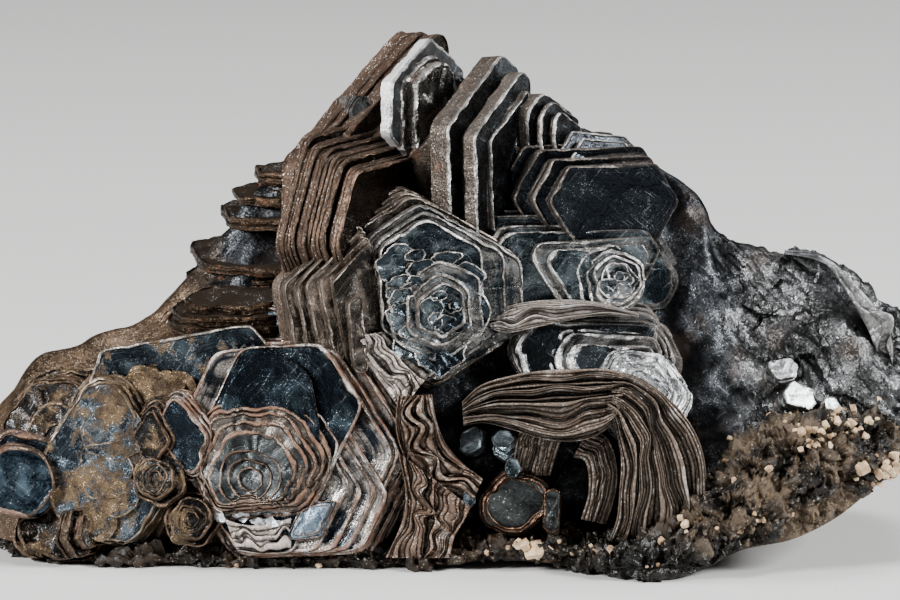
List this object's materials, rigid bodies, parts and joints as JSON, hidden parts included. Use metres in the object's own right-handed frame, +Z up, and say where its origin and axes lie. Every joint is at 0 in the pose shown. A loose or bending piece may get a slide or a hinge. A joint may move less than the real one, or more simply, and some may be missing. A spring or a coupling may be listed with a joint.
{
  "type": "hematite specimen",
  "caption": "Cluster of stacked hexagonal metallic plate crystals and rosettes on a broken piece of host rock, resting on the rock's flat underside.",
  "frame": {"origin": "middle of the bounding box's base, on the surface that the specimen stands on", "axes": "+Z up, +X along the specimen's length, to the right seen from in front; the rosettes face -Y"},
  "size_m": [0.0632, 0.0292, 0.0334],
  "materials": {
    "hematite": "dark steel-grey to blue-black metallic crystal faces, brown and silvery plate edges",
    "host_rock": "rough dark brown rock with pale beige grains"
  },
  "bodies": {
    "root": {"hematite_cluster": "hematite", "rock_matrix": "host_rock"}
  },
  "joints": []
}
